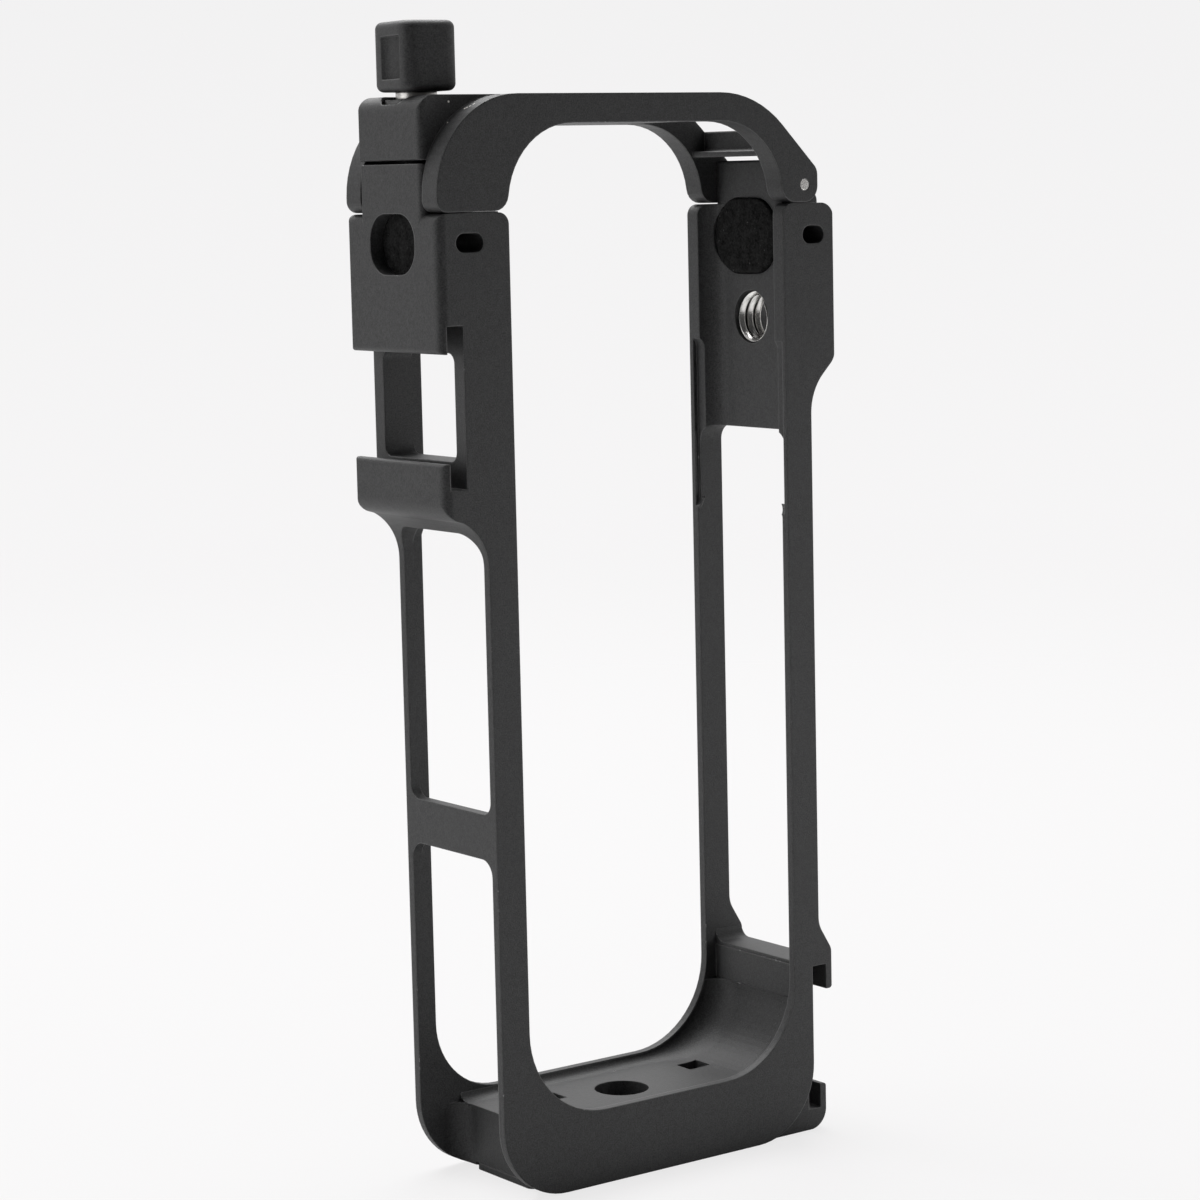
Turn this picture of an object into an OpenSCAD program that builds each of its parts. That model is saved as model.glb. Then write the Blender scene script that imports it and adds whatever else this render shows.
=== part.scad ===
// Cage for a slim upright camera: an open frame with two cold shoes, a hinged
// top door and a knob that clamps the door shut.
// X runs to the right, Y to the back and Z up; the origin is the centre of
// the camera-screw hole at the underside of the foot plate.

/* [Camera bay] */
// Width of the bay between the side walls
bay_w = 46.2; // [44:0.2:50]
// Depth of the bay between the front and back plates
bay_d = 16.8; // [16:0.2:20]
// How much the plates thicken into the bay beside the block and the boss
plate_thick_in = 0.9; // [0.4:0.1:1]
// Thickness of the front and back plates
plate_t = 1.07; // [1:0.01:1.6]
// Thickness of the side walls
wall_t = 1.3; // [1.1:0.1:1.8]
// Height of the bay floor
floor_z = 8; // [7:0.1:10]
// Radius of the bay where the right wall meets the floor
bay_corner_r = 9; // [5:0.1:9.3]
// Radius of the upright inner corners beside the boss
bay_edge_r = 3; // [1:0.1:3.4]

/* [Frame] */
// Height of the posts
post_z = 116.75; // [112:0.25:124]
// Radius of the lower outer corners
outer_corner_r = 9; // [6:0.1:10]
// Radius of the lower corners of the front and back windows
window_r = 11.1; // [8:0.1:12]
// Radius of the back window's lower left corner
back_window_r = 9.2; // [7:0.1:11]
// How far the posts reach over the front and back windows past the bay wall
post_lip = 2.7; // [2:0.1:4]
// Same reach at the back left post
back_left_lip = 1.3; // [1:0.1:2.6]
// Height of the windows' lower edge above the floor
sill_h = 1.15; // [0.5:0.05:2]
// Height of the slope where the plates thicken
slope_h = 1.5; // [0.8:0.1:2]

/* [Cold shoes] */
// Width of a cold shoe's slot
shoe_slot_w = 18.75; // [18.6:0.05:19]
// Width of a cold shoe's opening
shoe_open_w = 12.5; // [12.3:0.1:13]
// Height of the lip at the top of a cold shoe
shoe_lip_h = 3.2; // [2.8:0.1:3.3]
// Depth of a cold shoe's slot
shoe_slot_t = 2.2; // [2:0.05:2.6]
// Thickness of a cold shoe's lips
shoe_lip_t = 0.9; // [0.8:0.05:1.2]

/* [Left side] */
// How far the left block stands out past the side wall
block_out = 5.85; // [5.6:0.05:6.4]
// Distance from the post top down to the left shoe's slot
shoe_down = 12.7; // [12.4:0.05:14]
// Thickness of the hook under the left shoe's slot
hook_h = 3.1; // [2.6:0.1:4]
// Radius of the hook's hollow underside
hook_r = 6.4; // [5.8:0.1:8]
// Height of the left wall's window above the hollow's centre
web_up = 4.1; // [3:0.1:4.6]
// Bottom of the crossbar
crossbar_z = 41.4; // [30:0.1:55]
// Height of the crossbar
crossbar_h = 5.4; // [3:0.1:10]
// Distance from the post top down to the microphone hole's centre
mic_down = 3.45; // [3.4:0.05:4]
// Half width of the microphone hole
mic_half_w = 4.65; // [3.6:0.05:4.8]
// Half height of the microphone hole between its flats
mic_half_h = 3.5; // [2.4:0.1:3.5]
// Radius of the microphone hole's round sides
mic_side_r = 3.1; // [1:0.1:3.2]
// Radius of the duct from the microphone hole to the bay
mic_duct_r = 3.3; // [2:0.1:3.4]
// Thickness of the wall around the microphone hole
mic_wall_t = 1.8; // [1.2:0.1:2.4]
// Radius of the block's front edge
block_edge_r = 1.2; // [0.4:0.1:2]
// Radius of the post tops at their outer left corners
block_top_r = 1.2; // [0.5:0.1:2.6]
// Radius of the door legs' ends at their outer left corners
leg_corner_r = 1.4; // [0.5:0.1:1.7]
// Radius of the hook's lower edge
hook_edge_r = 2.4; // [0.5:0.1:2.5]

/* [Right side] */
// How far the right boss stands out past the side wall
boss_out = 4; // [3.6:0.1:6]
// How far the boss stands into the bay
boss_in = 0.3; // [0.1:0.1:0.6]
// Distance from the post top down to where the boss starts to taper
taper_down = 19; // [18.2:0.05:20]
// Height of the boss's taper
taper_h = 3.95; // [3.8:0.05:6]
// Distance from the post top down to the boss's lower edge inside the bay
boss_down = 27.85; // [25:0.05:29]
// Height of the lower shoe slot's floor
low_floor_z = 2.65; // [2.65:0.05:4]
// How far the lower right wall stands into the bay
low_step = 1.1; // [0.6:0.1:1.6]
// How far the wall's lower part is set back under its ledge
ledge_in = 0.4; // [0.2:0.1:0.6]
// How much the arm under the right corner stays behind the shoe's upper lip
arm_back = 0.3; // [0:0.1:0.5]
// Distance from the post top down to the quarter-inch thread insert
insert_down = 14; // [13.6:0.1:14.4]
// Outer radius of the quarter-inch thread insert
insert_r = 3.3; // [3.2:0.05:3.7]
// Inner radius of the quarter-inch thread insert
insert_bore_r = 2.8; // [2.6:0.05:3]

/* [Base] */
// Radius of the camera-screw hole
screw_hole_r = 3.4; // [3.2:0.05:3.8]
// Distance from the middle to the left end of the base block
base_x = 18.2; // [17:0.1:19.4]
// Radius where the base block's left end meets the plates
base_fillet_r = 2.5; // [1.5:0.1:3]
// Thickness of the foot plate
foot_t = 0.8; // [0.6:0.1:1.2]
// Half depth of the foot plate
foot_half = 5.8; // [5.4:0.1:6.6]
// Depth of the two wedge recesses in the floor, at their back wall
pocket_deep = 1; // [0.4:0.1:1.4]
// Distance from the middle to each foot screw along the foot plate
foot_screw_x = 13; // [10:0.1:15]
// Distance from the middle to each foot screw across the foot plate
foot_screw_y = 3.4; // [3:0.1:3.6]

/* [Door] */
// Height of the door's inner face above the post tops
door_in_h = 10.05; // [9.8:0.05:12]
// Thickness of the door's top
door_t = 3.4; // [3.2:0.1:4]
// Gap between the post tops and the door's legs
seam = 0.15; // [0.12:0.01:0.3]
// Radius of the post tops and leg ends beside the windows
post_top_r = 1.4; // [0.5:0.1:2]
// Thickness of the door's front and back legs
leg_t = 3.02; // [2.7:0.02:3.1]
// Clearance between the legs and what they straddle
leg_gap = 0.12; // [0.1:0.02:0.3]
// Radius of the door's outer left corner
door_left_r = 11.5; // [9:0.1:12.5]
// Radius of the door's outer right corner
door_right_r = 13.5; // [10:0.1:15]
// Radius of the door's inner corners
door_in_r = 9.3; // [7:0.1:9.4]
// Distance from the middle to the right end of the solid top
web_x = 7.1; // [4:0.1:12]
// Distance of the sloping right shoulder from the hinge pin
shoulder = 2.72; // [2.6:0.02:3]
// Height of the neck above the post tops
neck_h = 5.7; // [5.5:0.05:5.9]
// Gap between the neck and the tongue
tongue_gap = 0.4; // [0.35:0.05:0.7]

/* [Hinge] */
// How far the hinge pin sits past the bay wall
pin_out = 0.8; // [0.8:0.05:1]
// Height of the hinge pin above the post tops
pin_up = 2.25; // [2.25:0.05:2.4]
// Radius of the hinge pin
pin_r = 0.7; // [0.6:0.05:0.9]
// Running clearance around the hinge pin
pin_gap = 0.05; // [0.03:0.01:0.09]
// Radius of the knuckle above the pin
knuckle_r = 3.1; // [2.9:0.05:3.15]
// Gap between the knuckle and the tie over it
tie_gap = 0.5; // [0.4:0.05:0.6]

/* [Clamp screw] */
// Distance of the clamp screw from the block's outer face
clamp_in = 3.95; // [3.75:0.05:4.1]
// Radius of the screw's threaded end
thread_r = 1.62; // [1.5:0.01:1.66]
// Radius of the screw's shank
shank_r = 2; // [1.8:0.05:2]
// Radius of the screw's collar
collar_r = 2.4; // [2.3:0.05:2.8]
// Travel that frees the screw from the neck
clamp_travel = 3.4; // [3:0.1:3.4]
// Width of the knob
knob_w = 7.2; // [6.8:0.1:7.4]
// Length of the knob
knob_l = 8.7; // [8:0.1:12]
// Height of the knob
knob_h = 8; // [7.4:0.1:12]
// Radius of the knob's upright edges
knob_r = 2.1; // [1.6:0.1:2.6]
// Height of the knob's underside above the door's top face
knob_up = 0.5; // [0.4:0.1:1.2]
// Depth of the finger scoops in the knob
scoop_t = 0.6; // [0.3:0.1:0.8]

/* [Felt] */
// Thickness of the left felt disc
felt_left_t = 0.8; // [0.5:0.1:1.5]
// Thickness of the right felt disc
felt_right_t = 1.2; // [1:0.1:1.6]
// Half width of the felt discs
felt_r = 5.75; // [5.2:0.05:5.8]
// Half height of the felt discs between their flats
felt_half_h = 4.6; // [3.8:0.1:4.6]
// Radius of the felt discs' round sides
felt_side_r = 4.1; // [2:0.1:4.4]

/* [Hidden] */

$fn = 64;
arc_step = 6;
eps = 0.01;
far = 60;

bay_half = bay_w / 2;
wall_x = bay_half + wall_t;
half_d = bay_d / 2 + plate_t;
lip_half = bay_d / 2 - plate_thick_in;
left_x = -wall_x - block_out;
right_x = wall_x + boss_out;
boss_x = bay_half - boss_in;
window_half = bay_half - post_lip;
window_z = floor_z + sill_h;

shoe_top_z = post_z - shoe_down;
shoe_slot_z = shoe_top_z - shoe_slot_w;
block_z = shoe_top_z - shoe_lip_h;
shoe_open_z = block_z - shoe_open_w;
shoe_base_x = left_x + shoe_lip_t + shoe_slot_t;
hook_z = shoe_slot_z - hook_h;
hook_end_z = hook_z - sqrt(hook_r * hook_r - (hook_r - block_out) * (hook_r - block_out));
web_z = hook_end_z + web_up;
slope_z = web_z - slope_h;

mic_z = post_z - mic_down;
strap_r = 1.1;
felt_gap = 0.15;
felt_out = 0.4;
felt_shift = 0.5;
felt_drop = 0.5;
left_strap_up = 0.1;
right_strap_down = 0.4;
edge_r = 0.3;
pocket_w = 3.2;
pocket_l = 3;
pocket_y = 4;
pocket_left = -10.8;
pocket_right = 11.7;

low_slot_z = low_floor_z + shoe_slot_w;
low_x = bay_half - low_step;
low_base_x = low_x + wall_t;
ledge_z = low_slot_z - 4.4;
rebate_x = window_half + 0.6;
rebate_y = half_d - 0.65;
rebate_z = post_z - 16.45;
rebate_end_r = 1.6;
rebate_low_z = web_z - rebate_end_r;
low_lip_x = low_base_x + shoe_slot_t + shoe_lip_t;
low_open_top = low_slot_z - shoe_lip_h;
low_open_z = low_open_top - shoe_open_w;
arm_x = low_lip_x - arm_back;
lip_rise = 5.1;
lip_ramp = 3.3;
boss_z = post_z - taper_down;
boss_sill_z = post_z - boss_down;
insert_z = post_z - insert_down;
insert_sunk = 0.1;

door_z = post_z + seam;
door_in_z = post_z + door_in_h;
door_top_z = door_in_z + door_t;
leg_in = half_d - leg_t;
neck_half = leg_in - leg_gap;
neck_z = post_z + neck_h;
tongue_z = neck_z + tongue_gap;
tongue_x = bay_half - 0.6;
tongue_end = left_x - 0.05;
tongue_top_r = 2;
pin_x = bay_half + pin_out;
pin_z = post_z + pin_up;
knuckle_z = pin_z + knuckle_r;
tie_z = knuckle_z + tie_gap;
tie_lip_h = 0.7;
tie_x = window_half + 0.6;
shoulder_sum = pin_x + pin_z + shoulder * sqrt(2);
ear_r = 2;
leg_end_r = 2;

clamp_x = left_x + clamp_in;
seat_deep = 0.95;
seat_r = 4;
seat_z = door_top_z - seat_deep;
washer_r = 3.6;
washer_t = 0.5;
knob_z = door_top_z + knob_up;
knob_hole = 5;
knob_edge_r = 0.9;
knob_dome = 0.25;
scoop_r = 3.9;
ring_z = tongue_z + 0.35;
ring_t = 0.5;
ring_r = 3;
ring_play = 0.05;
ring_well_r = ring_r + 0.3;
ring_well_z = ring_z + ring_t + clamp_travel + 0.2;
groove_r = 1.3;
thread_tip_z = neck_z - clamp_travel + 0.3;
bush_r = 2.5;
bush_bore_r = 2;
bush_z = thread_tip_z - 0.5;
neck_hole_z = bush_z - 1.2;
foot_screw_r = 1;
foot_head_r = 1.8;
foot_screw_l = 4;

// Points of a round corner of radius r at p, between its neighbours a and b
function unit(v) = v / norm(v);
function corner(a, p, b, r) =
    r <= 0 ? [p] :
    let (u = unit(a - p), v = unit(b - p), half = acos(u * v) / 2)
    let (c = p + unit(u + v) * r / sin(half), s = p + u * r / tan(half), e = p + v * r / tan(half))
    let (a0 = atan2(s.y - c.y, s.x - c.x), turn = atan2(e.y - c.y, e.x - c.x) - a0)
    let (sweep = turn > 180 ? turn - 360 : (turn < -180 ? turn + 360 : turn))
    let (n = max(2, ceil(abs(sweep) / arc_step)))
    [for (i = [0:n]) c + r * [cos(a0 + sweep * i / n), sin(a0 + sweep * i / n)]];

// Closed outline whose corners are given as [x, y, radius]
function flat(p) = [p[0], p[1]];
function rounded(pts) =
    let (n = len(pts))
    [for (i = [0:n - 1])
        each corner(flat(pts[(i + n - 1) % n]), flat(pts[i]), flat(pts[(i + 1) % n]), pts[i][2])];

// Sharp points along an arc, to be part of an outline
function arc(x, y, r, a0, a1, n) =
    [for (i = [0:n]) [x + r * cos(a0 + (a1 - a0) * i / n), y + r * sin(a0 + (a1 - a0) * i / n), 0]];

// Rectangle outline with the same radius on all corners
function box(x0, x1, y0, y1, r = 0) = [[x0, y0, r], [x1, y0, r], [x1, y1, r], [x0, y1, r]];

// Solid from an outline in X and Z that runs from y0 to y1
module along_y(outline, y0, y1) {
    translate([0, y1, 0])
        rotate([90, 0, 0])
            linear_extrude(y1 - y0)
                polygon(rounded(outline));
}

// Solid from an outline in Y and Z that runs from x0 to x1
module along_x(outline, x0, x1) {
    translate([x0, 0, 0])
        rotate([90, 0, 90])
            linear_extrude(x1 - x0)
                polygon(rounded(outline));
}

// Solid from an outline in X and Y that runs from z0 to z1
module along_z(outline, z0, z1) {
    translate([0, 0, z0])
        linear_extrude(z1 - z0)
            polygon(rounded(outline));
}

// Round bars along each direction
module bar_z(r, z0, z1) {
    translate([0, 0, z0])
        cylinder(r = r, h = z1 - z0);
}

module bar_x(r, x0, x1, z) {
    translate([x0, 0, z])
        rotate([0, 90, 0])
            cylinder(r = r, h = x1 - x0);
}

module bar_y(r, y0, y1, x, z) {
    translate([x, y1, z])
        rotate([90, 0, 0])
            cylinder(r = r, h = y1 - y0);
}

// Front silhouette of the frame, without what stands between the door's legs
function frame_outline() = concat([
    [-wall_x, 0, outer_corner_r],
    [low_base_x, 0, outer_corner_r],
    [low_base_x, low_slot_z, 0],
    [low_lip_x - shoe_lip_t, low_slot_z, 0],
    [low_lip_x - shoe_lip_t, low_open_top, 0],
    [low_lip_x, low_open_top, 0.4],
    [low_lip_x, low_open_top + lip_rise, 1.6],
    [wall_x, low_open_top + lip_rise + lip_ramp, 3.4],
    [wall_x, boss_z - taper_h, 6.8],
    [right_x, boss_z, 2.7],
    [right_x, post_z, 2],
    [left_x, post_z, block_top_r],
    [left_x, block_z, 0.7],
    [left_x + shoe_lip_t, block_z, 0],
    [left_x + shoe_lip_t, shoe_top_z, 0],
    [shoe_base_x, shoe_top_z, 0],
    [shoe_base_x, shoe_slot_z, 0],
    [left_x + shoe_lip_t, shoe_slot_z, 0],
    [left_x + shoe_lip_t, shoe_open_z, 0],
    [left_x, shoe_open_z, 0.6],
    [left_x, hook_z, hook_edge_r]],
    arc(-wall_x - hook_r, hook_end_z, hook_r, 62, 0, 12));

// Arm under the right corner, with the lower lip of the cold shoe
function arm_outline() = [
    [0, 0, 0],
    [arm_x, 0, 2.5],
    [arm_x, low_open_z, 0.4],
    [arm_x - shoe_lip_t, low_open_z, 0],
    [arm_x - shoe_lip_t, low_floor_z, 0],
    [low_base_x, low_floor_z, 0],
    [low_base_x, low_slot_z, 0],
    [0, low_slot_z, 0]];

// Section of the bay seen from the side, wider below the slope
function bay_section(z0, z1) = [
    [-bay_d / 2, z0, 0], [bay_d / 2, z0, 0], [bay_d / 2, slope_z, 0.6], [lip_half, web_z, 0.6],
    [lip_half, z1, 0], [-lip_half, z1, 0], [-lip_half, web_z, 0.6], [-bay_d / 2, slope_z, 0.6]];

// Neck on the left that the clamp screw threads into
module neck() {
    intersection() {
        along_z([[left_x, -neck_half, 0.8], [-bay_half, -neck_half, edge_r],
                 [-bay_half, neck_half, edge_r], [left_x, neck_half, edge_r]],
                post_z - block_top_r - 1, neck_z);
        along_x(box(-neck_half, neck_half, 0, neck_z, edge_r), left_x, -bay_half);
    }
}

// Knuckle on the right that carries the hinge pin
module knuckle() {
    along_y([[boss_x, post_z - 6, 0], [right_x, post_z - 6, 0], [right_x, post_z + 0.8, 1.2],
             [pin_x + knuckle_r, pin_z - 0.3, 1], [pin_x + knuckle_r, knuckle_z, knuckle_r - 0.1],
             [boss_x, knuckle_z, 0.3]],
            -neck_half, neck_half);
}

// Room for the camera, with its rounded corners
module bay_room() {
    intersection() {
        along_y([[-bay_half, floor_z, 0], [low_x + ledge_in, floor_z, bay_corner_r], [low_x + ledge_in, ledge_z, 0],
                 [low_x, ledge_z, 0], [low_x, low_slot_z, 0], [boss_x, low_slot_z, 0],
                 [boss_x, post_z + far, 0], [-bay_half, post_z + far, 0]],
                -bay_d / 2, bay_d / 2);
        along_x(bay_section(0, post_z + far), -bay_half - 1, bay_half + 1);
        union() {
            along_z(box(-far, far, -bay_d / 2, bay_d / 2), 0, web_z);
            along_z([[-far, -lip_half, 0], [boss_x, -lip_half, bay_edge_r], [boss_x, lip_half, bay_edge_r],
                     [-far, lip_half, 0]],
                    web_z - 1, post_z + far);
        }
    }
    along_y(box(-rebate_x, rebate_x, rebate_low_z, rebate_z, rebate_end_r), -rebate_y, rebate_y);
}

// Windows in the front and back plates
module plate_windows() {
    flare = post_top_r + 0.6;
    back_x = -bay_half + back_left_lip;
    back_top_r = back_left_lip * 0.6;
    along_y([[-window_half, window_z, window_r], [window_half, window_z, window_r],
             [window_half, post_z, post_top_r], [window_half + flare, post_z, 0],
             [window_half + flare, post_z + far, 0], [-window_half - flare, post_z + far, 0],
             [-window_half - flare, post_z, 0], [-window_half, post_z, post_top_r]],
            -far, 0);
    along_y([[back_x, window_z, back_window_r], [window_half, window_z, window_r],
             [window_half, post_z, post_top_r], [window_half + flare, post_z, 0],
             [window_half + flare, post_z + far, 0], [-bay_half + eps, post_z + far, 0],
             [-bay_half + eps, post_z, 0], [back_x, post_z, back_top_r]],
            0, far);
}

// Windows in the left wall and the open corner beside the base block
module left_windows() {
    along_x(box(-lip_half, lip_half, shoe_open_z, block_z, 1.2), left_x + shoe_lip_t + 1, 0);
    along_x([[-bay_d / 2, crossbar_z + crossbar_h, 1.6], [bay_d / 2, crossbar_z + crossbar_h, 1.6],
             [bay_d / 2, web_z, 3], [-bay_d / 2, web_z, 3]],
            left_x - 1, 0);
    intersection() {
        along_x([[-bay_d / 2, -1, 0], [bay_d / 2, -1, 0], [bay_d / 2, crossbar_z, 2], [-bay_d / 2, crossbar_z, 2]],
                left_x - 1, -base_x);
        along_z([[left_x - 1, -bay_d / 2, 0], [-base_x, -bay_d / 2, base_fillet_r],
                 [-base_x, bay_d / 2, base_fillet_r], [left_x - 1, bay_d / 2, 0]],
                -1, crossbar_z);
    }
}

// Microphone hole, the hollow behind it and the strap slot
module left_block_cuts() {
    mic_x = left_x + mic_wall_t;
    along_x(box(-mic_half_w, mic_half_w, mic_z - mic_half_h, mic_z + mic_half_h, mic_side_r), left_x - 1, mic_x + eps);
    along_x(felt_outline(felt_gap), mic_x, mic_x + felt_left_t);
    bar_x(mic_duct_r, mic_x, 0, mic_z);
    strap_slot(-bay_half - 2.8, 3.8, mic_z + left_strap_up);
}

// Outline of a felt disc with flats, grown by a gap
function felt_outline(gap) =
    box(-felt_r - gap, felt_r + gap, mic_z - felt_half_h - gap, mic_z + felt_half_h + gap, felt_side_r + gap);

// Slot with round ends, through the front and the back
module strap_slot(x, w, z) {
    for (side = [-1, 1])
        bar_y(strap_r, -far, far, x + side * (w / 2 - strap_r), z);
    translate([x - w / 2 + strap_r, -far, z - strap_r])
        cube([w - 2 * strap_r, 2 * far, 2 * strap_r]);
}

// Two recesses in the floor that slope down to a back wall
module floor_wedges() {
    for (x = [pocket_left, pocket_right])
        along_x([[pocket_y - pocket_l, floor_z, 0], [pocket_y, floor_z - pocket_deep, 0],
                 [pocket_y, floor_z + 1, 0], [pocket_y - pocket_l, floor_z + 1, 0]],
                x, x + pocket_w);
}

module foot_screw_places() {
    for (x = [-foot_screw_x, foot_screw_x], y = [-foot_screw_y, foot_screw_y])
        translate([x, y, 0])
            children();
}

module main_frame() {
    color([0.16, 0.16, 0.17])
    difference() {
        union() {
            intersection() {
                along_y(frame_outline(), -half_d, half_d);
                along_z([[left_x, -half_d, block_edge_r], [right_x, -half_d, edge_r], [right_x, half_d, edge_r],
                         [left_x, half_d, 0.5]],
                        -1, post_z + 1);
            }
            along_y(arm_outline(), -bay_d / 2, bay_d / 2);
            neck();
            knuckle();
        }
        bay_room();
        plate_windows();
        left_windows();
        left_block_cuts();
        strap_slot(bay_half + 2, 3.4, mic_z - right_strap_down);
        along_x([[-bay_d / 2, low_slot_z, 0], [bay_d / 2, low_slot_z, 0], [bay_d / 2, boss_sill_z, 2],
                 [-bay_d / 2, boss_sill_z, 2]],
                rebate_x, right_x + 1);
        bar_z(screw_hole_r, -1, floor_z + 1);
        floor_wedges();
        translate([-base_x - 1, -foot_half - 0.1, -1])
            cube([2 * base_x + 1.1, 2 * foot_half + 0.2, foot_t + 1]);
        foot_screw_places()
            bar_z(foot_screw_r, 0, foot_t + foot_screw_l + 0.5);
        bar_x(insert_r, low_x - 1, right_x + 1, insert_z);
        translate([0, felt_shift, -felt_drop])
            along_x(felt_outline(felt_gap), boss_x - 1, boss_x + felt_right_t - felt_out);
        bar_y(pin_r + pin_gap, -half_d, half_d, pin_x, pin_z);
        translate([clamp_x, 0, 0])
            bar_z(bush_r, neck_hole_z, neck_z + 1);
    }
}

module foot_plate() {
    color([0.10, 0.10, 0.10])
    difference() {
        along_z(box(-base_x, base_x, -foot_half, foot_half, 0.8), 0, foot_t);
        bar_z(screw_hole_r, -1, foot_t + 1);
        foot_screw_places() {
            bar_z(foot_screw_r, -1, foot_t + 1);
            cylinder(r1 = foot_head_r, r2 = foot_screw_r, h = foot_t);
        }
    }
}

module foot_screws() {
    color([0.30, 0.30, 0.31])
    foot_screw_places()
        difference() {
            union() {
                cylinder(r1 = foot_head_r, r2 = foot_screw_r, h = foot_t);
                bar_z(foot_screw_r, foot_t - eps, foot_t + foot_screw_l);
            }
            translate([0, 0, -eps])
                cylinder(r = 0.65, h = 0.5, $fn = 6);
        }
}

module felt_left() {
    color([0.05, 0.05, 0.05])
    along_x(felt_outline(0), left_x + mic_wall_t, left_x + mic_wall_t + felt_left_t);
}

module felt_right() {
    color([0.05, 0.05, 0.05])
    translate([0, felt_shift, -felt_drop])
        along_x(felt_outline(0), boss_x - felt_out, boss_x - felt_out + felt_right_t);
}

module boss_insert() {
    color([0.75, 0.75, 0.76])
    difference() {
        bar_x(insert_r, boss_x + insert_sunk, right_x - insert_sunk, insert_z);
        bar_x(insert_bore_r, boss_x - 1, right_x + 1, insert_z);
    }
}

module neck_insert() {
    color([0.75, 0.75, 0.76])
    translate([clamp_x, 0, 0])
    difference() {
        bar_z(bush_r, bush_z, neck_z - 0.1);
        bar_z(bush_bore_r, bush_z - 1, neck_z + 1);
    }
}

// Door's silhouette at its front and back legs, whose ends run into the inner arch in a round corner
function door_outline() =
    let (arch_x = window_half - door_in_r, arch_z = door_in_z - door_in_r, end_z = door_z + leg_end_r,
         rise = end_z - arch_z, reach = door_in_r + leg_end_r, lean = asin(rise / reach),
         end_x = arch_x + reach * cos(lean))
    concat([
        [left_x, door_z, leg_corner_r],
        [left_x, door_top_z, door_left_r],
        [shoulder_sum - door_top_z, door_top_z, door_right_r],
        [pin_x + ear_r, shoulder_sum - pin_x - ear_r, 1.6],
        [pin_x + ear_r, door_z, 2]],
        arc(end_x, end_z, leg_end_r, -90, lean - 180, 5),
        arc(arch_x, arch_z, door_in_r, lean, 90, 12),
        arc(-arch_x, arch_z, door_in_r, 90, 180 - lean, 12),
        arc(-end_x, end_z, leg_end_r, -lean, -90, 5));

// Solid top between the legs, with the tongue at its left end
module door_top() {
    difference() {
        intersection() {
            along_y([[tongue_end, tongue_z, edge_r], [tongue_end, door_top_z, tongue_top_r],
                     [web_x, door_top_z, 0.6], [web_x, tongue_z, 0]],
                    -leg_in - eps, leg_in + eps);
            along_z([[tongue_end, -leg_in - eps, 0.9], [web_x, -leg_in - eps, 0], [web_x, leg_in + eps, 0],
                     [tongue_end, leg_in + eps, edge_r]],
                    tongue_z - 1, door_top_z + 1);
        }
        along_y([[-tongue_x, 0, 0], [-tongue_x, door_in_z, door_in_r], [tongue_x, door_in_z, door_in_r],
                 [tongue_x, 0, 0]],
                -far, far);
    }
}

// Tie between the legs over the knuckle, with a thin lip towards the bay
module door_tie() {
    along_y([[window_half - 1.3, tie_z, 0.2], [window_half - 1.3, tie_z + tie_lip_h, 0.2],
             [tie_x, tie_z + tie_lip_h, 0.3], [tie_x, shoulder_sum - tie_x, 0],
             [shoulder_sum - tie_z, tie_z, 0]],
            -leg_in - eps, leg_in + eps);
}

module top_door() {
    color([0.16, 0.16, 0.17])
    difference() {
        union() {
            along_y(door_outline(), -half_d, -leg_in);
            along_y(door_outline(), leg_in, half_d);
            door_top();
            door_tie();
        }
        translate([clamp_x, 0, 0]) {
            bar_z(seat_r, seat_z, door_top_z + 1);
            bar_z(shank_r + 0.1, tongue_z - 1, door_top_z);
            bar_z(ring_well_r, tongue_z - 1, ring_well_z);
        }
        bar_y(pin_r, -half_d - 1, half_d + 1, pin_x, pin_z);
    }
}

module hinge_pin() {
    color([0.80, 0.80, 0.82])
    bar_y(pin_r, -half_d + 0.05, half_d - 0.05, pin_x, pin_z);
}

module thrust_washer() {
    color([0.75, 0.75, 0.76])
    translate([clamp_x, 0, 0])
    difference() {
        bar_z(washer_r, seat_z, seat_z + washer_t);
        bar_z(shank_r + 0.1, seat_z - 1, seat_z + washer_t + 1);
    }
}

// Round corner column of the knob, softened at its top and underside
module knob_corner() {
    rotate_extrude($fn = 32)
        intersection() {
            polygon(rounded([[-knob_r, 0, knob_edge_r], [knob_r, 0, knob_edge_r], [knob_r, knob_h - knob_dome, knob_edge_r],
                             [0, knob_h, 0], [-knob_r, knob_h - knob_dome, knob_edge_r]]));
            square([knob_r, knob_h]);
        }
}

// Finger scoop, a bar with round ends that dips into the knob's side
module knob_scoop() {
    half = 0.4;
    bar_z(scoop_r, -half, half);
    for (end = [-half, half])
        translate([0, 0, end])
            sphere(r = scoop_r);
}

module clamp_knob() {
    color([0.16, 0.16, 0.17])
    translate([clamp_x, 0, knob_z])
    difference() {
        hull()
            for (x = [-1, 1], y = [-1, 1])
                translate([x * (knob_w / 2 - knob_r), y * (knob_l / 2 - knob_r), 0])
                    knob_corner();
        for (side = [-1, 1])
            translate([side * (knob_w / 2 - scoop_t + scoop_r), 0, knob_h / 2 + 0.1])
                knob_scoop();
        bar_z(shank_r, -1, knob_hole);
    }
}

module clamp_screw() {
    color([0.80, 0.80, 0.82])
    translate([clamp_x, 0, 0]) {
        bar_z(thread_r, thread_tip_z, ring_z - ring_play);
        bar_z(groove_r, ring_z - ring_play - eps, ring_z + ring_t + ring_play + eps);
        bar_z(shank_r, ring_z + ring_t + ring_play, knob_z + knob_hole);
        bar_z(collar_r, seat_z + washer_t, knob_z);
    }
}

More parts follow.
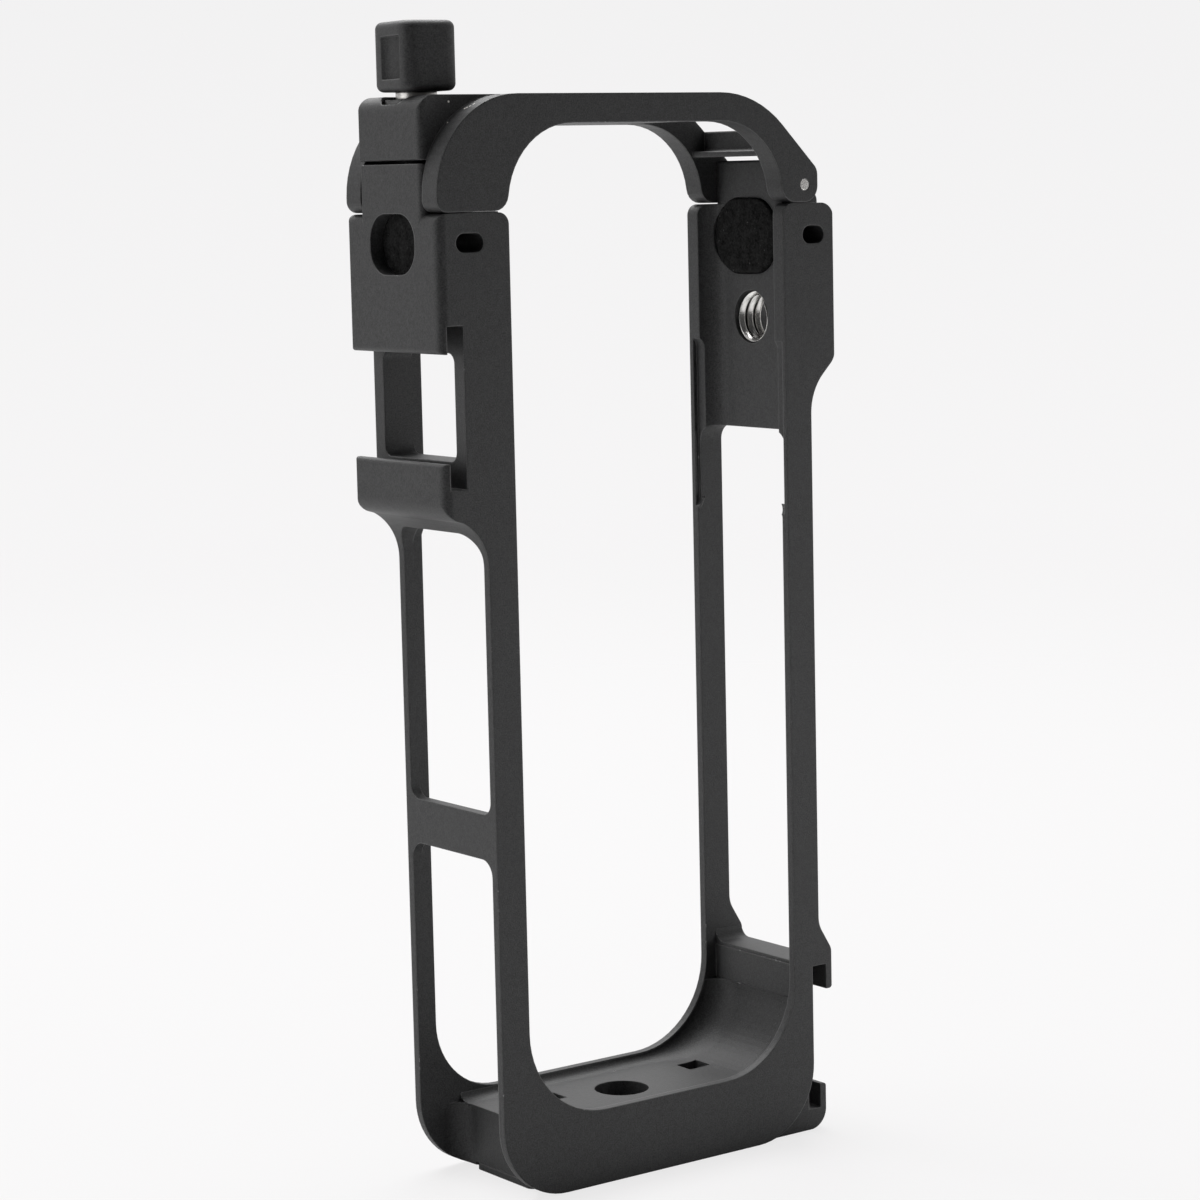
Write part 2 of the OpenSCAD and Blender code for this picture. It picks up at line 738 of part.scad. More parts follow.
module retaining_ring() {
    color([0.70, 0.70, 0.72])
    translate([clamp_x, 0, 0])
    difference() {
        bar_z(ring_r, ring_z, ring_z + ring_t);
        bar_z(groove_r + ring_play, ring_z - 1, ring_z + 1);
        translate([0, -1.1, ring_z - 1])
            cube([ring_r + 1, 2.2, 3]);
    }
}

main_frame();
foot_plate();
foot_screws();
felt_left();
felt_right();
boss_insert();
neck_insert();
top_door();
hinge_pin();
thrust_washer();
clamp_knob();
clamp_screw();
retaining_ring();
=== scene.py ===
import bpy
import math
import random
from mathutils import Matrix, Vector


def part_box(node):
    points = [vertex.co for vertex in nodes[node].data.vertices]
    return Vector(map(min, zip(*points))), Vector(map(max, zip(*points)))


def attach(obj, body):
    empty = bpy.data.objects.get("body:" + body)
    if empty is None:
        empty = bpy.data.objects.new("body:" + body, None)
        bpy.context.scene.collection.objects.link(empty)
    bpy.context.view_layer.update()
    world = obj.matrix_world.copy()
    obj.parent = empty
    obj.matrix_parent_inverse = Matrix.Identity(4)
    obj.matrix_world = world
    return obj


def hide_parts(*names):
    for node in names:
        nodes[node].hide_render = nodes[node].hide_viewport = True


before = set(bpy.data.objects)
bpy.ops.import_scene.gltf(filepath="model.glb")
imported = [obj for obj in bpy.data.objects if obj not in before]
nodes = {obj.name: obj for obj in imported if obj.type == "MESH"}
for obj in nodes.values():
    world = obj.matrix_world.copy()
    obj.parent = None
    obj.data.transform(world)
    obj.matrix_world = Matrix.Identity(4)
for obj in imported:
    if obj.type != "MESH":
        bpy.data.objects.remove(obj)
bpy.context.scene.view_settings.view_transform = "Standard"
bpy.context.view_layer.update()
mm = 0.001
# ends of edges are compared to within this
hair = 0.001 * mm
# points closer than this are merged
weld = 0.0001 * mm


# Shader helpers

bevelSamples = 8


class Value:
    def __init__(self, recipe, socket):
        self.recipe = recipe
        self.socket = socket

    def maths(self, operation, one, other, clamp=False):
        return self.recipe.node("ShaderNodeMath", {"operation": operation, "use_clamp": clamp}, [one, other])

    def __add__(self, other):
        return self.maths("ADD", self, other)

    def __radd__(self, other):
        return self.maths("ADD", self, other)

    def __sub__(self, other):
        return self.maths("SUBTRACT", self, other)

    def __rsub__(self, other):
        return self.maths("SUBTRACT", other, self)

    def __mul__(self, other):
        return self.maths("MULTIPLY", self, other)

    def __rmul__(self, other):
        return self.maths("MULTIPLY", self, other)

    def clamped(self):
        return self.maths("ADD", self, 0.0, clamp=True)


class Recipe:
    # the node tree of a material or of the world
    def __init__(self, owner, coordinates="Object"):
        owner.use_nodes = True
        self.owner = owner
        self.tree = owner.node_tree
        self.place = self.node("ShaderNodeTexCoord", {}, {}, coordinates)

    def node(self, kind, settings, inputs, output=0):
        made = self.tree.nodes.new(kind)
        for name, value in settings.items():
            if name == "stops":
                for element, (position, shade) in zip(made.color_ramp.elements, value):
                    element.position = position
                    element.color = (shade, shade, shade, 1)
            else:
                setattr(made, name, value)
        pairs = inputs.items() if isinstance(inputs, dict) else enumerate(inputs)
        for name, value in pairs:
            self.feed(made.inputs[name], value)
        return Value(self, made.outputs[output])

    def feed(self, socket, value):
        if isinstance(value, Value):
            self.tree.links.new(value.socket, socket)
        else:
            socket.default_value = value

    def noise(self, scale, detail, roughness, stretch=(1, 1, 1)):
        place = self.place
        if stretch != (1, 1, 1):
            place = self.node("ShaderNodeMapping", {}, {"Vector": self.place, "Scale": stretch})
        inputs = {"Vector": place, "Scale": scale, "Detail": detail, "Roughness": roughness}
        return self.node("ShaderNodeTexNoise", {}, inputs, "Fac")

    def ramp(self, factor, low, high):
        # black up to low, white from high
        return self.node("ShaderNodeValToRGB", {"stops": [(low, 0.0), (high, 1.0)]}, {"Fac": factor})

    def spread(self, value, low, high, **settings):
        # 0 at low and 1 at high, also where low is the larger
        return self.node("ShaderNodeMapRange", settings, {"Value": value, "From Min": low, "From Max": high})

    def blend(self, factor, one, other):
        return self.node("ShaderNodeMix", {"data_type": "RGBA"}, {0: factor, 6: one, 7: other}, 2)

    def bevelled(self, radius):
        return self.node("ShaderNodeBevel", {"samples": bevelSamples}, {"Radius": radius})

    def edges(self, soft, low, high):
        # how far the softened normal has turned from the real one: only near edges
        sharp = self.node("ShaderNodeNewGeometry", {}, {}, "True Normal")
        same = self.node("ShaderNodeVectorMath", {"operation": "DOT_PRODUCT"}, [soft, sharp], "Value")
        return self.spread(1 - same, low, high)

    def bump(self, height, strength, distance, under=None):
        inputs = {"Height": height, "Strength": strength, "Distance": distance}
        if under:
            inputs["Normal"] = under
        return self.node("ShaderNodeBump", {}, inputs)


class Finish(Recipe):
    # a material with its shader
    def __init__(self, name, constants):
        super().__init__(bpy.data.materials.new(name))
        self.shader = self.tree.nodes["Principled BSDF"]
        for socket, value in constants.items():
            self.set(socket, value)

    def set(self, name, value):
        self.feed(self.shader.inputs[name], value)


# Black anodised metal, sandblasted

anodised = {"low": (0.006, 0.006, 0.0062, 1), "high": (0.036, 0.036, 0.037, 1),
            "grainScale": 5600, "cloudScale": 60, "grainShare": 0.75, "coarseShare": 0.2, "cloudShare": 0.05,
            "mottle": (0.34, 0.66), "roughness": 0.46, "roughnessGrain": 0.2, "grainDepth": 0.06 * mm,
            "bump": 0.7, "grainBump": 0.6, "coarseBump": 0.4,
            # edges are softened, get a painted highlight as a paler colour, and are worn through in patches
            "softEdge": 0.28 * mm, "edgeFrom": 0.03, "edgeTo": 0.25, "edge": (0.15, 0.15, 0.15, 1),
            "edgeHighlightShare": 0.6, "worn": (0.5, 0.5, 0.5, 1), "wornShare": 0.9,
            "speckScale": 1800, "specks": (0.6, 0.66), "patchScale": 170, "patches": (0.6, 0.69),
            # small chips in the finish where the door closes, as place and radius
            "chips": [((-0.02623, -0.00646, 0.12938), 0.00011), ((-0.02465, -0.00733, 0.12856), 0.00010),
                      ((-0.02445, -0.00752, 0.12868), 0.00012), ((-0.02415, -0.00772, 0.12884), 0.00010),
                      ((-0.02372, -0.00786, 0.12906), 0.00011), ((-0.02667, -0.00679, 0.12702), 0.00009)],
            "bare": (0.7, 0.68, 0.64, 1), "chipCore": 1.4, "chipReach": 1.9}


def addChips(recipe, base, look, ragged):
    # small bright spots of uneven outline
    mask = 0.0
    for spot, radius in look["chips"]:
        away = recipe.node("ShaderNodeVectorMath", {"operation": "DISTANCE"}, [recipe.place, spot], "Value")
        inside = recipe.spread(away + ragged * radius, radius * look["chipReach"], radius * look["chipCore"])
        mask = inside + mask
    return recipe.blend(mask.clamped(), base, look["bare"])


def makeAnodised(name, look):
    recipe = Finish(name, {"Metallic": 0.0, "IOR": 1.5, "Specular IOR Level": 0.4})
    grain = recipe.noise(look["grainScale"], detail=2, roughness=0.55)
    coarse = recipe.noise(look["grainScale"] / 3, detail=2, roughness=0.5)
    cloud = recipe.noise(look["cloudScale"], detail=3, roughness=0.5)
    soft = recipe.bevelled(look["softEdge"])
    edge = recipe.edges(soft, look["edgeFrom"], look["edgeTo"])
    speck = recipe.ramp(recipe.noise(look["speckScale"], detail=1, roughness=0.5), *look["specks"])
    patch = recipe.ramp(recipe.noise(look["patchScale"], detail=2, roughness=0.6), *look["patches"])
    mottle = grain * look["grainShare"] + coarse * look["coarseShare"] + cloud * look["cloudShare"]
    base = recipe.blend(recipe.ramp(mottle, *look["mottle"]), look["low"], look["high"])
    # painted highlight: a paler colour blended in along every edge
    base = recipe.blend(edge * look["edgeHighlightShare"], base, look["edge"])
    base = recipe.blend((edge * patch * speck * look["wornShare"]).clamped(), base, look["worn"])
    base = addChips(recipe, base, look, grain)
    recipe.set("Base Color", base)
    recipe.set("Roughness", look["roughness"] + grain * look["roughnessGrain"])
    relief = grain * look["grainBump"] + coarse * look["coarseBump"]
    recipe.set("Normal", recipe.bump(relief, look["bump"], look["grainDepth"], soft))
    return recipe.owner


# Steel, turned, drawn or burnished

steelLook = {"dark": (0.30, 0.29, 0.28, 1), "light": (0.60, 0.59, 0.57, 1), "softEdge": 0.12 * mm,
             "roughness": 0.2}
screwLook = {**steelLook, "roughness": 0.24}
wireLook = {"dark": (0.60, 0.59, 0.57, 1), "light": (0.78, 0.77, 0.75, 1), "softEdge": 0.1 * mm,
            "roughness": 0.16}
dullLook = {"dark": (0.03, 0.03, 0.03, 1), "light": (0.10, 0.10, 0.10, 1), "softEdge": 0.12 * mm,
            "roughness": 0.4}
turning = {"scale": 2600, "stretch": (0.25, 0.25, 3.0), "cloudScale": 500, "turnedShare": 0.6,
           "cloudShare": 0.4, "mottle": (0.3, 0.7), "roughness": 0.14, "depth": 0.02 * mm, "bump": 0.25,
           "greaseFade": 0.4 * mm, "greaseRoughness": 0.3}


def makeSteel(name, look, dullBelow=None):
    recipe = Finish(name, {"Metallic": 1.0})
    turned = recipe.noise(turning["scale"], detail=3, roughness=0.6, stretch=turning["stretch"])
    cloud = recipe.noise(turning["cloudScale"], detail=3, roughness=0.6)
    soft = recipe.bevelled(look["softEdge"])
    mottle = turned * turning["turnedShare"] + cloud * turning["cloudShare"]
    shade = recipe.blend(recipe.ramp(mottle, *turning["mottle"]), look["dark"], look["light"])
    rough = look["roughness"] + turned * turning["roughness"]
    if dullBelow:
        # the thread below the groove is dark with grease
        height = recipe.node("ShaderNodeSeparateXYZ", {}, [recipe.place], "Z")
        clean = recipe.spread(height, dullBelow, dullBelow + turning["greaseFade"])
        shade = recipe.blend(clean, dullLook["dark"], shade)
        rough = rough + (1 - clean) * turning["greaseRoughness"]
    recipe.set("Base Color", shade)
    recipe.set("Roughness", rough)
    recipe.set("Normal", recipe.bump(turned, turning["bump"], turning["depth"], soft))
    return recipe.owner


# Felt with a little lint and painted glints

feltLook = {"low": (0.001, 0.001, 0.001, 1), "high": (0.028, 0.028, 0.028, 1),
            # one pale colour for lint and for painted glints of the fibres
            "lintAndGlint": (0.07, 0.07, 0.07, 1),
            "fibreScale": 3400, "clumpScale": 800, "fibreShare": 0.65, "clumpShare": 0.35,
            "mottle": (0.35, 0.68), "lintAndGlintScale": 2600, "lintAndGlintSpots": (0.73, 0.77),
            "fibreBump": 0.7, "clumpBump": 0.5, "depth": 0.2 * mm}


def makeFelt(name, look):
    recipe = Finish(name, {"Roughness": 1.0, "Specular IOR Level": 0.08})
    fibre = recipe.noise(look["fibreScale"], detail=4, roughness=0.7)
    clump = recipe.noise(look["clumpScale"], detail=3, roughness=0.6)
    # pale specks: lint, and painted glints on the fibres
    lintAndGlint = recipe.ramp(recipe.noise(look["lintAndGlintScale"], detail=1, roughness=0.5), *look["lintAndGlintSpots"])
    mottle = fibre * look["fibreShare"] + clump * look["clumpShare"]
    base = recipe.blend(recipe.ramp(mottle, *look["mottle"]), look["low"], look["high"])
    recipe.set("Base Color", recipe.blend(lintAndGlint, base, look["lintAndGlint"]))
    relief = fibre * look["fibreBump"] + clump * look["clumpBump"]
    recipe.set("Normal", recipe.bump(relief, 1.0, look["depth"]))
    return recipe.owner


blackMetal = makeAnodised("blackAnodised", anodised)
brightSteel = makeSteel("turnedSteel", steelLook)
wireSteel = makeSteel("wireSteel", wireLook)
dullSteel = makeSteel("burnishedSteel", dullLook)
screwSteel = makeSteel("screwSteel", screwLook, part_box("retaining_ring")[1][2])
darkFelt = makeFelt("blackFelt", feltLook)

finishes = {"main_frame": blackMetal, "top_door": blackMetal, "clamp_knob": blackMetal,
            "foot_plate": blackMetal, "foot_screws": blackMetal, "felt_left": darkFelt,
            "felt_right": darkFelt, "boss_insert": brightSteel, "neck_insert": brightSteel,
            "hinge_pin": wireSteel, "thrust_washer": dullSteel, "clamp_screw": screwSteel,
            "retaining_ring": dullSteel}
for name, material in finishes.items():
    for holder in nodes[name].material_slots:
        holder.material = material
print("materials done")


# Helpers for new pieces

def editMode():
    bpy.ops.object.mode_set(mode="EDIT")


def objectMode():
    bpy.ops.object.mode_set(mode="OBJECT")


def deselectAll():
    if bpy.context.object and bpy.context.object.mode != "OBJECT":
        objectMode()
    bpy.ops.object.select_all(action="DESELECT")


def selectOnly(piece, *others):
    deselectAll()
    for selected in (piece, *others):
        selected.select_set(True)
    bpy.context.view_layer.objects.active = piece


def applyModifiers(piece):
    selectOnly(piece)
    for modifier in list(piece.modifiers):
        bpy.ops.object.modifier_apply(modifier=modifier.name)


def addBox(low, high):
    deselectAll()
    bpy.ops.mesh.primitive_cube_add(size=1, location=(Vector(low) + Vector(high)) / 2)
    box = bpy.context.object
    box.scale = Vector(high) - Vector(low)
    bpy.ops.object.transform_apply(location=True, rotation=False, scale=True)
    return box


def selectEdges(piece, wanted):
    # goes into edit mode with the edges selected whose two ends pass the test
    selectOnly(piece)
    editMode()
    bpy.ops.mesh.select_mode(type="EDGE")
    bpy.ops.mesh.select_all(action="DESELECT")
    objectMode()
    points = piece.data.vertices
    for edge in piece.data.edges:
        edge.select = wanted(*(points[index].co for index in edge.vertices))
    editMode()


def roundEdges(piece, wanted, width, segments):
    selectEdges(piece, wanted)
    bpy.ops.mesh.bevel(offset=width, segments=segments, affect="EDGES")
    objectMode()


def softenEdges(piece, width, segments, sharperThan=30):
    # rounds every edge that turns by more than the angle in degrees
    soften = piece.modifiers.new("soften", "BEVEL")
    soften.width = width
    soften.segments = segments
    soften.limit_method = "ANGLE"
    soften.angle_limit = math.radians(sharperThan)
    applyModifiers(piece)


def cut(piece, tool):
    modifier = piece.modifiers.new("cut", "BOOLEAN")
    modifier.operation = "DIFFERENCE"
    modifier.solver = "EXACT"
    modifier.object = tool
    applyModifiers(piece)
    bpy.data.objects.remove(tool)


def shadeSmooth(angle=40):
    bpy.ops.object.shade_smooth_by_angle(angle=math.radians(angle))


def settle(piece, material, body, replaced=()):
    # puts the piece's place into its mesh and hands it to its body
    selectOnly(piece)
    bpy.ops.object.transform_apply(location=True, rotation=True, scale=True)
    piece.data.materials.clear()
    piece.data.materials.append(material)
    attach(piece, body)
    if replaced:
        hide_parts(*replaced)


thread = {"steps": 48, "roundingSteps": 2}


def threadRidge(name, profile, rounding, pitch, turns):
    # a ridge that winds round X with closed ends; its four corners are X and distance from the axis
    deselectAll()
    bpy.ops.mesh.primitive_circle_add(vertices=4, radius=0.5 * mm, fill_type="NGON", location=(0, 0, 0))
    piece = bpy.context.object
    piece.name = name
    editMode()
    bpy.ops.mesh.select_mode(type="VERT")
    for index, (x, z) in enumerate(profile):
        bpy.ops.mesh.select_all(action="DESELECT")
        objectMode()
        corner = piece.data.vertices[index]
        corner.select = True
        move = Vector((x, 0, z)) - corner.co
        editMode()
        bpy.ops.transform.translate(value=move)
    bpy.ops.mesh.select_all(action="SELECT")
    bpy.ops.mesh.bevel(offset=rounding, segments=thread["roundingSteps"], affect="VERTICES")
    bpy.ops.mesh.delete(type="ONLY_FACE")
    objectMode()
    winding = piece.modifiers.new("turns", "SCREW")
    winding.axis = "X"
    winding.angle = math.tau * turns
    winding.screw_offset = pitch * turns
    winding.steps = winding.render_steps = int(thread["steps"] * turns)
    winding.use_merge_vertices = True
    winding.merge_threshold = weld
    applyModifiers(piece)
    editMode()
    bpy.ops.mesh.select_all(action="DESELECT")
    bpy.ops.mesh.select_mode(type="EDGE")
    bpy.ops.mesh.select_non_manifold()
    bpy.ops.mesh.edge_face_add()
    bpy.ops.mesh.select_all(action="SELECT")
    bpy.ops.mesh.normals_make_consistent(inside=False)
    objectMode()
    shadeSmooth()
    return piece


# Wire thread insert in the boss

wire = {"pitch": 1.27 * mm, "inner": 2.6 * mm, "outer": 3.28 * mm, "width": 1.05 * mm, "flankShare": 0.8,
        "rounding": 0.08 * mm, "startAngle": 60}


def makeWireInsert():
    low, high = (Vector(corner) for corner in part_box("boss_insert"))
    centre = (low + high) / 2
    flank = wire["inner"] + (wire["outer"] - wire["inner"]) * wire["flankShare"]
    half = wire["width"] / 2
    profile = [(-half, flank), (0, wire["inner"]), (half, flank), (0, wire["outer"])]
    turns = (high.x - low.x - wire["width"]) / wire["pitch"]
    piece = threadRidge("boss_wire_insert", profile, wire["rounding"], wire["pitch"], turns)
    piece.rotation_euler = (math.radians(wire["startAngle"]), 0, 0)
    piece.location = (low.x + half / 2, centre.y, centre.z)
    settle(piece, wireSteel, "frame", ("boss_insert",))


makeWireInsert()
print("wire insert done")


# Clamp screw with a cut thread

screw = {"pitch": 0.7 * mm, "core": 1.2 * mm, "crest": 1.6 * mm, "groove": 1.3 * mm, "shank": 2.0 * mm,
         "collar": 2.4 * mm, "grooveHeight": 0.7 * mm, "play": 0.1 * mm, "overlap": 0.2 * mm,
         "shoulder": 0.45 * mm, "ridgeShare": 0.42, "rooted": 0.1 * mm, "crestHalf": 0.03 * mm,
         "crestRounding": 0.01 * mm, "lead": 0.1 * mm, "sides": 64, "soften": 0.12 * mm, "softenSteps": 3}


def roundBar(radius, bottom, top, centre):
    deselectAll()
    bpy.ops.mesh.primitive_cylinder_add(vertices=screw["sides"], radius=radius, depth=top - bottom,
                                        location=(centre.x, centre.y, (bottom + top) / 2))
    bar = bpy.context.object
    softenEdges(bar, screw["soften"], screw["softenSteps"])
    return bar


def makeClampScrew():
    low, high = (Vector(corner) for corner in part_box("clamp_screw"))
    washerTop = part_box("thrust_washer")[1][2]
    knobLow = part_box("clamp_knob")[0][2]
    centre = (low + high) / 2
    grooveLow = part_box("retaining_ring")[0][2] - screw["play"]
    grooveHigh = grooveLow + screw["grooveHeight"]
    core = roundBar(screw["core"], low.z, grooveLow, centre)
    bars = [roundBar(screw["crest"], grooveLow - screw["shoulder"], grooveLow, centre),
            roundBar(screw["groove"], grooveLow - screw["overlap"], grooveHigh + screw["overlap"], centre),
            roundBar(screw["shank"], grooveHigh, high.z, centre),
            roundBar(screw["collar"], washerTop, knobLow, centre)]
    half = screw["pitch"] * screw["ridgeShare"]
    inside = screw["core"] - screw["rooted"]
    profile = [(-half, inside), (-screw["crestHalf"], screw["crest"]), (screw["crestHalf"], screw["crest"]),
               (half, inside)]
    turns = (grooveLow - low.z - 2 * half - 2 * screw["lead"]) / screw["pitch"]
    ridge = threadRidge("ridge", profile, screw["crestRounding"], screw["pitch"], turns)
    ridge.rotation_euler = (0, -math.pi / 2, 0)
    ridge.location = (centre.x, centre.y, low.z + half + screw["lead"])
    selectOnly(core, ridge, *bars)
    bpy.ops.object.join()
    core.name = "clamp_screw_threaded"
    shadeSmooth()
    settle(core, screwSteel, "knob", ("clamp_screw",))


makeClampScrew()
print("clamp screw done")


# Knob with two finger scoops

knob = {"corner": 1.9 * mm, "cornerSteps": 12, "edge": 0.85 * mm, "edgeSteps": 8,
        "scoopRadius": 2.95 * mm, "scoopDepth": 1.1 * mm, "scoopLength": 4.9 * mm, "scoopDrop": 0.15 * mm,
        "scoopShift": 0.65 * mm, "scoopSides": 160, "hole": 2.0 * mm, "holeDepth": 5.0 * mm, "holeSides": 64,
        "soften": 0.38 * mm, "softenSteps": 4, "sharp": 35, "turned": -6}


def makeKnob():
    low, high = (Vector(corner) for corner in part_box("clamp_knob"))
    centre, span = (low + high) / 2, high - low
    piece = addBox(-span / 2, span / 2)
    piece.name = "clamp_knob_scooped"
    roundEdges(piece, lambda one, other: abs(one.z - other.z) > span.z / 2,
               knob["corner"], knob["cornerSteps"])
    roundEdges(piece, lambda one, other: abs(one.z - other.z) < hair, knob["edge"], knob["edgeSteps"])
    outward = span.x / 2 - knob["scoopDepth"] + knob["scoopRadius"]
    for side in (-1, 1):
        deselectAll()
        bpy.ops.mesh.primitive_cylinder_add(
            vertices=knob["scoopSides"], radius=knob["scoopRadius"], depth=knob["scoopLength"],
            location=(side * outward, side * knob["scoopShift"], -knob["scoopDrop"]))
        cut(piece, bpy.context.object)
    deselectAll()
    bpy.ops.mesh.primitive_cylinder_add(vertices=knob["holeSides"], radius=knob["hole"],
                                        depth=knob["holeDepth"] * 2, location=(0, 0, -span.z / 2))
    cut(piece, bpy.context.object)
    softenEdges(piece, knob["soften"], knob["softenSteps"], knob["sharp"])
    shadeSmooth(knob["sharp"])
    piece.rotation_euler = (0, 0, math.radians(knob["turned"]))
    piece.location = centre
    settle(piece, blackMetal, "knob", ("clamp_knob",))


makeKnob()
print("knob done")


# Blends between the bay's floor and the plates

blend = {"floor": 8 * mm, "face": 8.4 * mm, "start": -18.5 * mm, "rimX": 9.3 * mm, "rimZ": 20.25 * mm,
         "rimRadius": 11.2 * mm, "cornerX": 13.4 * mm, "cornerRadius": 9 * mm, "narrowest": 1.2 * mm,
         "widest": 4.4 * mm, "spread": 1.5, "across": 12, "along": 90, "skin": 0.3 * mm}


def blendEnds(share):
    # the rim's edge and the bay's surface below it, as X and Z, at a share of the way from left to right
    straight = blend["rimX"] - blend["start"]
    lead = blend["cornerX"] - blend["rimX"]
    turn = blend["cornerRadius"] * math.pi / 2
    way = share * (straight + lead + turn)
    cornerTop = blend["floor"] + blend["cornerRadius"]
    if way <= straight:
        x = blend["start"] + way
        return Vector((x, blend["rimZ"] - blend["rimRadius"])), Vector((x, blend["floor"]))
    past = way - straight
    climb = math.pi / 2 + math.asin((cornerTop - blend["rimZ"]) / blend["rimRadius"])
    angle = climb * past / (lead + turn) - math.pi / 2
    rim = Vector((blend["rimX"] + blend["rimRadius"] * math.cos(angle),
                  blend["rimZ"] + blend["rimRadius"] * math.sin(angle)))
    if past <= lead:
        return rim, Vector((blend["rimX"] + past, blend["floor"]))
    angle = (past - lead) / blend["cornerRadius"] - math.pi / 2
    return rim, Vector((blend["cornerX"] + blend["cornerRadius"] * math.cos(angle),
                        cornerTop + blend["cornerRadius"] * math.sin(angle)))


def closeEnd(corner):
    # a last extrusion that shrinks to the corner between floor and plate
    bpy.ops.mesh.extrude_region_move()
    bpy.ops.transform.resize(value=(0, 0, 0), center_override=corner)


def makeBlend(name, side):
    # a quarter of a circle is extruded from station to station, and stretched and turned at each;
    # side is 1 for the back plate and -1 for the front one
    deselectAll()
    bpy.ops.mesh.primitive_circle_add(vertices=4 * blend["across"], radius=1, location=(0, 0, 0))
    piece = bpy.context.object
    piece.name = name
    selectEdges(piece, lambda one, other: one.x + other.x > 0 or side * (one.y + other.y) < 0)
    bpy.ops.mesh.delete(type="EDGE")
    bpy.ops.mesh.select_all(action="SELECT")
    centre, reach, depth, heading = Vector((0, 0, 0)), 1, 1, 0
    for station in range(blend["along"] + 1):
        rim, surface = blendEnds(station / blend["along"])
        nextReach = (rim - surface).length
        nextDepth = min(max(nextReach * blend["spread"], blend["narrowest"]), blend["widest"])
        nextCentre = Vector((rim.x, side * (blend["face"] - nextDepth), rim.y))
        if station:
            bpy.ops.mesh.extrude_region_move()
            bpy.ops.transform.rotate(value=-heading, orient_axis="Y", center_override=centre)
        bpy.ops.transform.resize(value=(nextReach / reach, nextDepth / depth, 1), center_override=centre)
        heading = math.atan2(rim.y - surface.y, rim.x - surface.x)
        bpy.ops.transform.rotate(value=heading, orient_axis="Y", center_override=centre)
        bpy.ops.transform.translate(value=nextCentre - centre)
        centre, reach, depth = nextCentre, nextReach, nextDepth
    closeEnd((surface.x, side * blend["face"], surface.y))
    selectEdges(piece, lambda one, other: max(one.x, other.x) < blend["start"] + hair)
    closeEnd((blend["start"], side * blend["face"], blend["floor"]))
    bpy.ops.mesh.select_all(action="SELECT")
    bpy.ops.mesh.remove_doubles(threshold=weld)
    objectMode()
    if sum(face.normal.z * face.area for face in piece.data.polygons) < 0:
        # the faces point up, so that the skin grows down into the metal
        editMode()
        bpy.ops.mesh.flip_normals()
        objectMode()
    skin = piece.modifiers.new("skin", "SOLIDIFY")
    skin.thickness = blend["skin"]
    skin.offset = -1
    applyModifiers(piece)
    shadeSmooth()
    settle(piece, blackMetal, "frame")


makeBlend("bay_blend_back", 1)
makeBlend("bay_blend_front", -1)
print("bay blends done")


# Sill over the lower cold shoe

sill = {"left": 22.02 * mm, "right": 26.35 * mm, "low": 21.4 * mm, "top": 21.9 * mm, "face": 8.4 * mm,
        "fillet": 1.5 * mm, "filletCut": 1.47 * mm, "filletSteps": 12, "sunk": 0.3 * mm,
        "outerEdge": 0.7 * mm, "outerSteps": 6, "soften": 0.25 * mm, "softenSteps": 4, "sharp": 50,
        "roomBeside": 1 * mm, "roomAbove": 4 * mm}


def makeSill():
    # a bar across both plates, with a room cut out of its top that leaves the sill and its two fillets
    rise = sill["top"] + sill["fillet"]
    outer = sill["face"] + sill["sunk"]
    piece = addBox((sill["left"], -outer, sill["low"]), (sill["right"], outer, rise))
    piece.name = "lower_shoe_sill"
    roundEdges(piece, lambda one, other: min(one.x, other.x) > sill["right"] - hair
               and min(one.z, other.z) > rise - hair, sill["outerEdge"], sill["outerSteps"])
    room = addBox((sill["left"] - sill["roomBeside"], -sill["face"], sill["top"]),
                  (sill["right"] + sill["roomBeside"], sill["face"], rise + sill["roomAbove"]))
    roundEdges(room, lambda one, other: max(one.z, other.z) < sill["top"] + hair
               and abs(one.y - other.y) < hair, sill["filletCut"], sill["filletSteps"])
    cut(piece, room)
    softenEdges(piece, sill["soften"], sill["softenSteps"], sill["sharp"])
    shadeSmooth()
    settle(piece, blackMetal, "frame")


makeSill()
print("sill done")


# Seats under the door's left legs

seat = {"left": -26.5 * mm, "rightFront": -21.8 * mm, "rightBack": -22.4 * mm, "inner": 8.45 * mm,
        "outer": 9.4 * mm, "low": 116.7 * mm, "top": 116.88 * mm, "soften": 0.04 * mm, "softenSteps": 3}


def makeSeat(name, side, right):
    near, far = sorted((side * seat["inner"], side * seat["outer"]))
    piece = addBox((seat["left"], near, seat["low"]), (right, far, seat["top"]))
    piece.name = name
    softenEdges(piece, seat["soften"], seat["softenSteps"])
    shadeSmooth()
    settle(piece, blackMetal, "frame")


makeSeat("front_leg_seat", -1, seat["rightFront"])
makeSeat("back_leg_seat", 1, seat["rightBack"])
print("seats done")


# Felt pads with loose fibres

pad = {"corner": 4.1 * mm, "cornerSteps": 10, "grid": 0.16 * mm, "lump": 0.5 * mm, "lumpHeight": 0.16 * mm,
       "fuzz": 0.12 * mm, "fuzzHeight": 0.14 * mm, "strands": 240, "strandSteps": 4, "strandStep": 0.22 * mm,
       "strandRadius": 0.016 * mm, "strandLean": 0.45, "strandTip": 0.4, "strandSunk": 0.03 * mm,
       # ranges of the random draws: place as a share of the pad, angles in radians, size
       "strandReach": (0.1, 0.97), "strandTilt": (0.05, 0.5), "strandTwist": (-0.5, 0.5),
       "strandSize": (0.5, 1.2), "seed": 11}


def roughen(piece, name, scale, height):
    texture = bpy.data.textures.new(name, "CLOUDS")
    texture.noise_scale = scale
    modifier = piece.modifiers.new(name, "DISPLACE")
    modifier.texture = texture
    modifier.strength = height
    modifier.mid_level = 0.5


